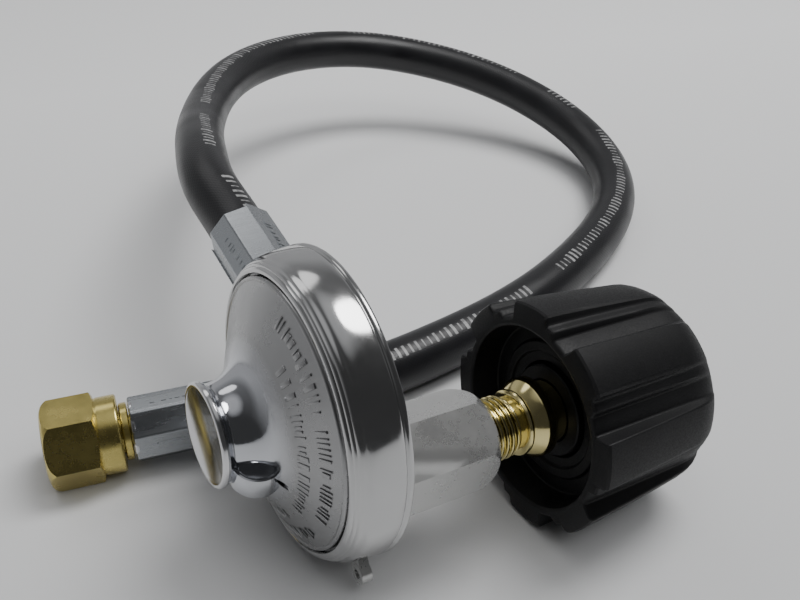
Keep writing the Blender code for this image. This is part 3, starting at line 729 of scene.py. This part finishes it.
def buildInlet():
    outline = [(3.0, 13.0), (6.0, 13.0), (6.0, 33.2), (5.9, 33.5), (5.9, 34.5), (6.7, 34.6)]
    outline += [(7.2, 34.9), (7.35, 35.4), (7.2, 35.9), (6.9, 36.1), (7.3, 36.5), (8.6, 38.3),
                (8.8, 38.7)]
    outline += [(8.8, 40.7), (8.5, 41.0)]
    outline += [(7.0, 41.2), (7.0, 53.0), (10.0, 53.0), (10.0, 56.0), (7.6, 56.2), (7.6, 63.0),
                (7.0, 65.0), (5.6, 66.6)]
    outline += [(4.4, 66.6), (4.4, 44.0), (3.0, 44.0)]
    finish(turned("nipple", outline, toInlet, 128, smoothAngle=30), brassTurned, "regulator", "brass",
           "inlet_nipple")
    finish(thread("nipple_thread", 6.85, 0.85, taperPitchMm, 22.0, 33.4, toInlet), brassTurned, "regulator",
           "brass")

    bushing = [(7.3, 44.8), (10.1, 44.8), (10.4, 45.1), (10.4, 50.3), (13.2, 50.3), (13.5, 50.6),
               (13.5, 52.4),
               (13.2, 52.7), (7.3, 52.7)]
    finish(turned("bushing", bushing, toInlet, 96), plastic, "bushing", "black_plastic",
           "thermal_bushing")


# Handwheel: eight broad lobes with a ledge on one side, cut back to teeth at the near end
def buildHandwheel():
    lobes, perLobe = 8, 36
    count = lobes * perLobe
    profile = []
    for k in range(perLobe):
        share = k / perLobe
        if share < 0.52:
            level = 1.0
        elif share < 0.56:
            level = 1.0 - (share - 0.52) / 0.04 * 0.55
        elif share < 0.68:
            level = 0.45
        elif share < 0.72:
            level = 0.45 - (share - 0.68) / 0.04 * 0.45
        elif share < 0.95:
            level = 0.0
        else:
            level = (share - 0.95) / 0.05
        profile.append(level)
    # Height, rib radius, root radius
    sections = [(39.2, 24.9, 21.9), (39.5, 25.6, 22.2), (40.0, 25.9, 22.4), (44.0, 25.7, 22.4)]
    sections += [(52.0, 25.1, 22.3), (62.0, 24.2, 22.1), (67.0, 23.7, 22.0), (69.0, 23.35, 21.9)]
    sections += [(71.2, 22.6, 21.6), (73.0, 21.6, 21.0), (74.2, 20.6, 20.3), (75.0, 19.6, 19.6)]
    inner = [(75.0, 18.2), (74.4, 17.6), (73.1, 16.7)]
    at = 72.5
    while at > 53.0:
        inner += [(at, 16.65), (at - 1.0, 16.65), (at - 1.6, 17.9), (at - 3.2, 17.9), (at - 3.8, 16.65)]
        at -= acmePitchMm
    inner += [(50.2, 16.65), (50.0, 10.9), (46.0, 10.9), (46.0, 13.2), (45.2, 13.4), (45.2, 15.6),
              (46.0, 15.8)]
    inner += [(46.0, 19.3), (42.0, 20.0), (39.6, 20.4), (39.2, 20.8)]
    start = math.radians(-124.5)
    rings = []
    for height, rib, root in sections + [(height, radius, radius) for height, radius in inner]:
        ring = []
        for k in range(count):
            angle = start + math.tau * k / count
            radius = root + (rib - root) * profile[k % perLobe]
            ring.append((height * mm, radius * mm * math.cos(angle), radius * mm * math.sin(angle)))
        rings.append(ring)
    wheel = skin("wheel", rings + rings[:1], toInlet, 28)
    rounding = wheel.modifiers.new("Bevel", "BEVEL")
    rounding.width = 0.28 * mm
    rounding.segments = 2
    rounding.limit_method = "ANGLE"
    rounding.angle_limit = math.radians(38)
    finish(wheel, plastic, "handwheel", "black_plastic", "handwheel")


buildInlet()
buildHandwheel()
print("inlet made")


inside = {
    "orifice": brassTurned, "seat_holder": brassTurned, "pusher_stem": brassTurned,
    "excess_flow_poppet": brassTurned, "excess_flow_retainer": brassTurned,
    "main_spring": steel, "spring_cup": steel, "diaphragm_plate": steel, "diaphragm_washer": steel,
    "lever": steel, "lever_pin": steel, "excess_flow_spring": steel, "outlet_stem": steel,
    "adjusting_screw": plastic, "diaphragm": rubberSeal, "seat_disc": rubberSeal,
}
for name, made in inside.items():
    node = bpy.data.objects[name]
    for place in range(len(node.material_slots)):
        node.material_slots[place].material = made
print("inner pieces painted")
